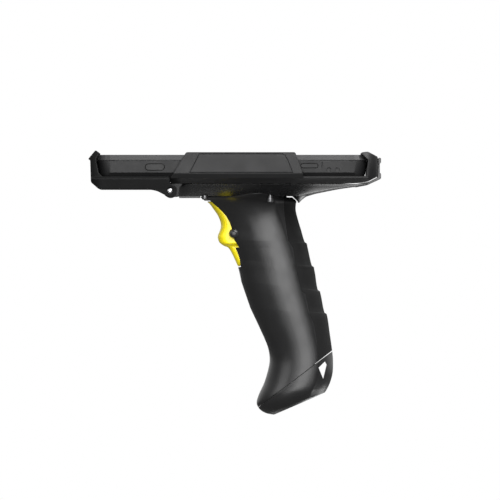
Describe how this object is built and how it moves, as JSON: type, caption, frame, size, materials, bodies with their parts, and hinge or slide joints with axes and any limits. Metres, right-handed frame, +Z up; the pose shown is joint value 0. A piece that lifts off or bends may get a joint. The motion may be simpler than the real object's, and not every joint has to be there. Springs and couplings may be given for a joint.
{
  "type": "handheld data collector",
  "caption": "Rugged handheld data collector: a touch terminal held screen up in a clip-in cradle on a pistol grip with a yellow scan trigger.",
  "frame": {"origin": "middle of the hand grip, in the mirror plane of the object, at the palm's height", "axes": "+X along the terminal towards its rear end, -X towards the scan window and the trigger's face, +Y to the object's right side, +Z up out of the screen"},
  "size_m": [0.173, 0.084, 0.1566],
  "materials": {
    "terminal_plastic": "fine matte black housing plastic",
    "terminal_trim": "satin dark grey rim",
    "cradle_plastic": "lightly grained matte black",
    "cradle_shell_plastic": "satin to glossy black underside",
    "grip_plastic": "soft satin black",
    "rubber": "matte black rubber",
    "trigger_plastic": "bright yellow, smooth",
    "glass": "black cover glass",
    "steel": "bright steel",
    "gold_contact": "gold plated",
    "circuit_board": "green solder mask",
    "battery_wrap": "dark wrapped module",
    "spring_steel": "drawn wire"
  },
  "bodies": {
    "cradle_and_grip": {"terminal_back_housing": "terminal_plastic", "battery_door": "terminal_plastic", "terminal_bezel": "terminal_trim", "cradle_frame": "cradle_plastic", "side_pad_left": "cradle_plastic", "side_pad_right": "cradle_plastic", "contact_block": "cradle_plastic", "cradle_lower_shell": "cradle_shell_plastic", "grip_shell_left": "grip_plastic", "grip_shell_right": "grip_plastic", "base_cap": "grip_plastic", "backstrap": "rubber", "seat_pad": "rubber", "touch_glass": "glass", "display_module": "glass", "scan_window": "glass", "camera_window": "glass", "usb_socket": "steel", "hinge_pin_left": "steel", "hinge_pin_right": "steel", "shell_screw_left": "steel", "shell_screw_right": "steel", "handle_screw_left": "steel", "handle_screw_right": "steel", "grip_screw_1": "steel", "grip_screw_2": "steel", "grip_screw_3": "steel", "trigger_pivot_pin": "steel", "contact_pin_1": "gold_contact", "contact_pin_2": "gold_contact", "contact_pin_3": "gold_contact", "main_board": "circuit_board", "switch_board": "circuit_board", "terminal_battery": "battery_wrap", "scan_engine": "battery_wrap", "trigger_switch": "battery_wrap", "trigger_spring": "spring_steel"},
    "latch": {"front_latch_arm": "cradle_plastic"},
    "trigger_lever": {"trigger": "trigger_plastic"},
    "left_scan_key": {"scan_key_left": "rubber"},
    "right_scan_key": {"scan_key_right": "rubber"},
    "left_rear_key": {"volume_key": "rubber"},
    "right_rear_key": {"power_key": "rubber"}
  },
  "joints": [
    {"name": "latch_hinge", "type": "hinge", "parent": "cradle_and_grip", "child": "latch", "pos_m": [-0.0676, 0, 0.0645], "axis": [0, -1, 0], "range_deg": [0, 90]},
    {"name": "trigger_pivot", "type": "hinge", "parent": "cradle_and_grip", "child": "trigger_lever", "pos_m": [-0.0375, 0, 0.057], "axis": [0, -1, 0], "range_deg": [0, 5], "stiffness_Nm_per_rad": 0.6, "springref_deg": -3.44},
    {"name": "scan_key_left_press", "type": "slide", "parent": "cradle_and_grip", "child": "left_scan_key", "axis": [0, 1, 0], "range_m": [0, 0.0004], "stiffness_N_per_m": 2000, "springref_m": -0.0002},
    {"name": "scan_key_right_press", "type": "slide", "parent": "cradle_and_grip", "child": "right_scan_key", "axis": [0, -1, 0], "range_m": [0, 0.0004], "stiffness_N_per_m": 2000, "springref_m": -0.0002},
    {"name": "volume_key_press", "type": "slide", "parent": "cradle_and_grip", "child": "left_rear_key", "axis": [0, 1, 0], "range_m": [0, 0.0004], "stiffness_N_per_m": 2000, "springref_m": -0.0002},
    {"name": "power_key_press", "type": "slide", "parent": "cradle_and_grip", "child": "right_rear_key", "axis": [0, -1, 0], "range_m": [0, 0.0004], "stiffness_N_per_m": 2000, "springref_m": -0.0002}
  ]
}
